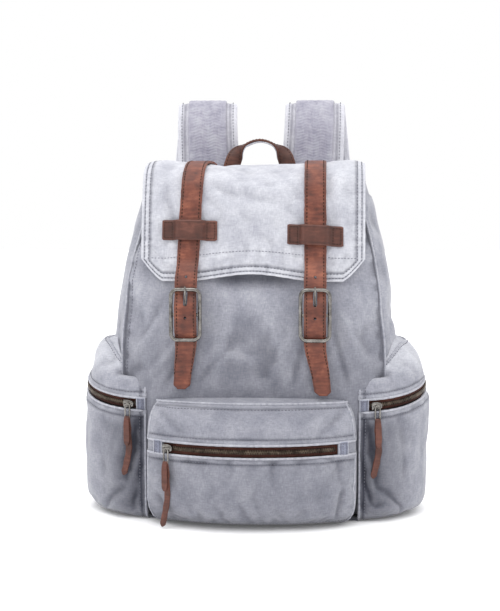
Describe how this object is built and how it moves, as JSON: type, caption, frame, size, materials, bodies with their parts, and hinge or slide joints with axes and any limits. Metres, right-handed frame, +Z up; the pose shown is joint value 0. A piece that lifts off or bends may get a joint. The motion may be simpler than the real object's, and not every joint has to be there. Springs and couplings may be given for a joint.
{
  "type": "travel backpack",
  "caption": "Canvas rucksack with a flap held by leather buckle straps, bellows side pockets, a zipped front pocket, a carry handle and padded shoulder straps.",
  "frame": {"origin": "on the floor under the middle of the bag's bounding box, shoulder straps included", "axes": "+X towards the bag's own right as seen from its front, -Y towards the front pocket, +Z up towards the handle"},
  "size_m": [0.3824, 0.2782, 0.4643],
  "materials": {
    "washed_canvas": "matt washed cotton canvas, grey-blue",
    "washed_canvas_pale": "matt washed cotton canvas, pale grey",
    "strap_canvas": "matt washed cotton canvas over foam",
    "lining_cotton": "plain cotton lining",
    "fibre_board": "stiff board, not seen",
    "padding_foam": "soft foam, not seen",
    "brown_leather": "waxed pull-up leather, red-brown",
    "dark_leather": "waxed pull-up leather, darker",
    "antique_nickel": "antique nickel plate",
    "antique_brass": "antique brass plate",
    "zip_tape": "dark brown cotton tape with brass teeth",
    "cotton_webbing": "grey-lilac woven cotton webbing"
  },
  "bodies": {
    "bag": {"front_panel": "washed_canvas", "side_panel_left": "washed_canvas", "side_panel_right": "washed_canvas", "back_panel": "washed_canvas", "base_panel": "washed_canvas", "lining": "lining_cotton", "base_board": "fibre_board", "back_foam": "padding_foam", "eyelet_left": "antique_brass", "eyelet_right": "antique_brass", "snap_socket_left": "antique_nickel", "snap_socket_right": "antique_nickel", "front_pocket_top": "washed_canvas", "front_pocket_bag": "washed_canvas", "front_zip_chain": "zip_tape", "side_pocket_top_left": "washed_canvas", "side_pocket_top_right": "washed_canvas", "side_pocket_bag_left": "washed_canvas", "side_pocket_bag_right": "washed_canvas", "side_zip_chain_left": "zip_tape", "side_zip_chain_right": "zip_tape", "corner_tab_left": "brown_leather", "corner_tab_right": "brown_leather", "yoke": "washed_canvas"},
    "flap": {"flap": "washed_canvas_pale", "closing_strap_left": "brown_leather", "strap_keeper_left": "dark_leather", "buckle_frame_left": "antique_nickel", "buckle_chape_left": "brown_leather", "snap_stud_left": "antique_nickel", "closing_strap_right": "brown_leather", "strap_keeper_right": "dark_leather", "buckle_frame_right": "antique_nickel", "buckle_chape_right": "brown_leather", "snap_stud_right": "antique_nickel"},
    "prong_left": {"buckle_prong_left": "antique_nickel"},
    "prong_right": {"buckle_prong_right": "antique_nickel"},
    "front_slider": {"front_zip_slider": "antique_brass"},
    "front_pull": {"front_zip_tab": "antique_brass", "front_zip_thong": "dark_leather"},
    "left_slider": {"left_zip_slider": "antique_brass"},
    "left_pull": {"left_zip_tab": "antique_brass", "left_zip_thong": "dark_leather"},
    "right_slider": {"right_zip_slider": "antique_brass"},
    "right_pull": {"right_zip_tab": "antique_brass", "right_zip_thong": "dark_leather"},
    "handle": {"handle_leather": "brown_leather", "handle_lining": "cotton_webbing"},
    "strap_left": {"shoulder_pad_left": "strap_canvas", "shoulder_webbing_left": "cotton_webbing", "lower_strap_left": "cotton_webbing"},
    "adjuster_left": {"strap_adjuster_left": "antique_nickel"},
    "strap_right": {"shoulder_pad_right": "strap_canvas", "shoulder_webbing_right": "cotton_webbing", "lower_strap_right": "cotton_webbing"},
    "adjuster_right": {"strap_adjuster_right": "antique_nickel"}
  },
  "joints": [
    {"name": "flap_lift", "type": "hinge", "parent": "bag", "child": "flap", "pos_m": [0, 0.06737, 0.3795], "axis": [-1, 0, 0], "range_deg": [0, 66]},
    {"name": "prong_left_swing", "type": "hinge", "parent": "flap", "child": "prong_left", "pos_m": [-0.07, -0.09963, 0.2275], "axis": [1, 0, 0], "range_deg": [0, 4]},
    {"name": "prong_right_swing", "type": "hinge", "parent": "flap", "child": "prong_right", "pos_m": [0.068, -0.09963, 0.2275], "axis": [1, 0, 0], "range_deg": [0, 4]},
    {"name": "front_zip_run", "type": "hinge", "parent": "bag", "child": "front_slider", "pos_m": [0, 0.04787, 0.087], "axis": [0, 0, 1], "range_deg": [0, 54]},
    {"name": "front_pull_swing", "type": "hinge", "parent": "front_slider", "child": "front_pull", "pos_m": [-0.08915, -0.12218, 0.087], "axis": [-0.8857, 0.4643, 0], "range_deg": [0, 70]},
    {"name": "left_zip_run", "type": "hinge", "parent": "bag", "child": "left_slider", "pos_m": [-0.112, -0.00513, 0.1434], "axis": [0, 0.1908, -0.9816], "range_deg": [0, 108]},
    {"name": "left_pull_swing", "type": "hinge", "parent": "left_slider", "child": "left_pull", "pos_m": [-0.13535, -0.08513, 0.12871], "axis": [-0.9613, 0.2756, 0], "range_deg": [0, 70]},
    {"name": "right_zip_run", "type": "hinge", "parent": "bag", "child": "right_slider", "pos_m": [0.112, -0.00513, 0.1434], "axis": [0, -0.1908, 0.9816], "range_deg": [0, 108]},
    {"name": "right_pull_swing", "type": "hinge", "parent": "right_slider", "child": "right_pull", "pos_m": [0.13535, -0.08513, 0.12871], "axis": [-0.9613, -0.2756, 0], "range_deg": [0, 70]},
    {"name": "handle_lean", "type": "hinge", "parent": "bag", "child": "handle", "pos_m": [0, 0.07307, 0.364], "axis": [1, 0, 0], "range_deg": [-2, 5]},
    {"name": "strap_left_swing", "type": "hinge", "parent": "bag", "child": "strap_left", "pos_m": [-0.06, 0.07707, 0.338], "axis": [-0.1955, -0.0161, -0.9806], "range_deg": [-5, 5]},
    {"name": "adjuster_left_slide", "type": "slide", "parent": "strap_left", "child": "adjuster_left", "axis": [-0.1323, -0.2645, -0.9553], "range_m": [0, 0.04]},
    {"name": "strap_right_swing", "type": "hinge", "parent": "bag", "child": "strap_right", "pos_m": [0.06, 0.07707, 0.338], "axis": [0.1955, -0.0161, -0.9806], "range_deg": [-5, 5]},
    {"name": "adjuster_right_slide", "type": "slide", "parent": "strap_right", "child": "adjuster_right", "axis": [0.1323, -0.2645, -0.9553], "range_m": [0, 0.04]}
  ]
}
